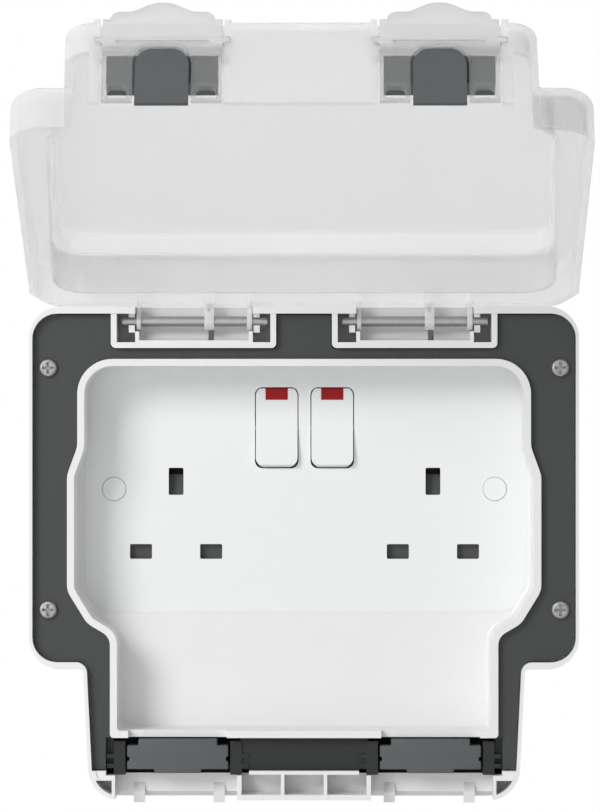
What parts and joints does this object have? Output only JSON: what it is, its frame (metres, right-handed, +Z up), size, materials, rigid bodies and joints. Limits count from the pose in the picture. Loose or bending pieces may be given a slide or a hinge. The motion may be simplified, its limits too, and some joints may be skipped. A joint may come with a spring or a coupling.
{
  "type": "outdoor weatherproof socket",
  "caption": "White wall box holding a switched socket under a hinged clear lid with snap latches and soft cable seals.",
  "frame": {"origin": "centre of the wall face of the box", "axes": "+Y into the wall, +Z up, +X to the right seen from the front"},
  "size_m": [0.172, 0.1911, 0.2395],
  "materials": {
    "white_moulding": "smooth white moulded thermoplastic",
    "dark_moulding": "dark grey satin moulding",
    "dark_rubber": "dark grey soft seal",
    "clear_moulding": "milky clear moulding",
    "bright_steel": "zinc plated steel",
    "contact_brass": "pressed brass",
    "red_lens": "red lens",
    "grey_moulding": "grey moulding",
    "lamp_glass": "lamp glass"
  },
  "bodies": {
    "box": {"back_box": "white_moulding", "seal_plate": "dark_moulding", "socket_tray": "white_moulding", "frame_screws": "bright_steel", "faceplate": "white_moulding", "plate_screws": "bright_steel", "screw_caps": "white_moulding", "rear_housing": "white_moulding", "neutral_contacts": "contact_brass", "live_contacts": "contact_brass", "earth_contacts": "contact_brass", "terminal_screws": "bright_steel", "switch_contacts": "contact_brass", "neon_lamps": "lamp_glass", "pad_carrier": "dark_moulding", "cable_pad_left": "dark_rubber", "cable_pad_right": "dark_rubber", "shutter_spring_left": "bright_steel", "shutter_spring_right": "bright_steel"},
    "lid": {"lid_shell": "clear_moulding", "hinge_pins": "bright_steel", "lid_seal_left": "dark_rubber", "lid_seal_right": "dark_rubber"},
    "catch_left": {"latch_left": "clear_moulding"},
    "switch_left": {"rocker_left": "white_moulding", "indicator_left": "red_lens", "plunger_left": "grey_moulding", "plunger_spring_left": "bright_steel"},
    "contact_left": {"seesaw_left": "contact_brass"},
    "gate_left": {"shutter_left": "grey_moulding"},
    "catch_right": {"latch_right": "clear_moulding"},
    "switch_right": {"rocker_right": "white_moulding", "indicator_right": "red_lens", "plunger_right": "grey_moulding", "plunger_spring_right": "bright_steel"},
    "contact_right": {"seesaw_right": "contact_brass"},
    "gate_right": {"shutter_right": "grey_moulding"}
  },
  "joints": [
    {"name": "lid_hinge", "type": "hinge", "parent": "box", "child": "lid", "pos_m": [0, -0.0511, 0.0732], "axis": [1, 0, 0], "range_deg": [0, 116.3]},
    {"name": "catch_left_pivot", "type": "hinge", "parent": "lid", "child": "catch_left", "pos_m": [-0.0393, -0.18115, 0.15019], "axis": [1, 0, 0], "range_deg": [-9, 0], "stiffness_Nm_per_rad": 0.2, "springref_deg": 2.86},
    {"name": "switch_left_rock", "type": "hinge", "parent": "box", "child": "switch_left", "pos_m": [-0.0088, -0.0336, 0.0398], "axis": [1, 0, 0], "range_deg": [0, 12]},
    {"name": "contact_left_tilt", "type": "hinge", "parent": "box", "child": "contact_left", "pos_m": [-0.0088, -0.0229, 0.0398], "axis": [1, 0, 0], "range_deg": [-8, 0]},
    {"name": "gate_left_slide", "type": "slide", "parent": "box", "child": "gate_left", "axis": [0, 0, -1], "range_m": [0, 0.0065], "stiffness_N_per_m": 50, "springref_m": -0.004, "deforming": ["shutter_spring_left"]},
    {"name": "catch_right_pivot", "type": "hinge", "parent": "lid", "child": "catch_right", "pos_m": [0.0393, -0.18115, 0.15019], "axis": [1, 0, 0], "range_deg": [-9, 0], "stiffness_Nm_per_rad": 0.2, "springref_deg": 2.86},
    {"name": "switch_right_rock", "type": "hinge", "parent": "box", "child": "switch_right", "pos_m": [0.0088, -0.0336, 0.0398], "axis": [1, 0, 0], "range_deg": [0, 12]},
    {"name": "contact_right_tilt", "type": "hinge", "parent": "box", "child": "contact_right", "pos_m": [0.0088, -0.0229, 0.0398], "axis": [1, 0, 0], "range_deg": [-8, 0]},
    {"name": "gate_right_slide", "type": "slide", "parent": "box", "child": "gate_right", "axis": [0, 0, -1], "range_m": [0, 0.0065], "stiffness_N_per_m": 50, "springref_m": -0.004, "deforming": ["shutter_spring_right"]}
  ],
  "couplings": [
    {"joint": "contact_left_tilt", "follows": "switch_left_rock", "ratio": -0.6666},
    {"joint": "contact_right_tilt", "follows": "switch_right_rock", "ratio": -0.6666}
  ]
}
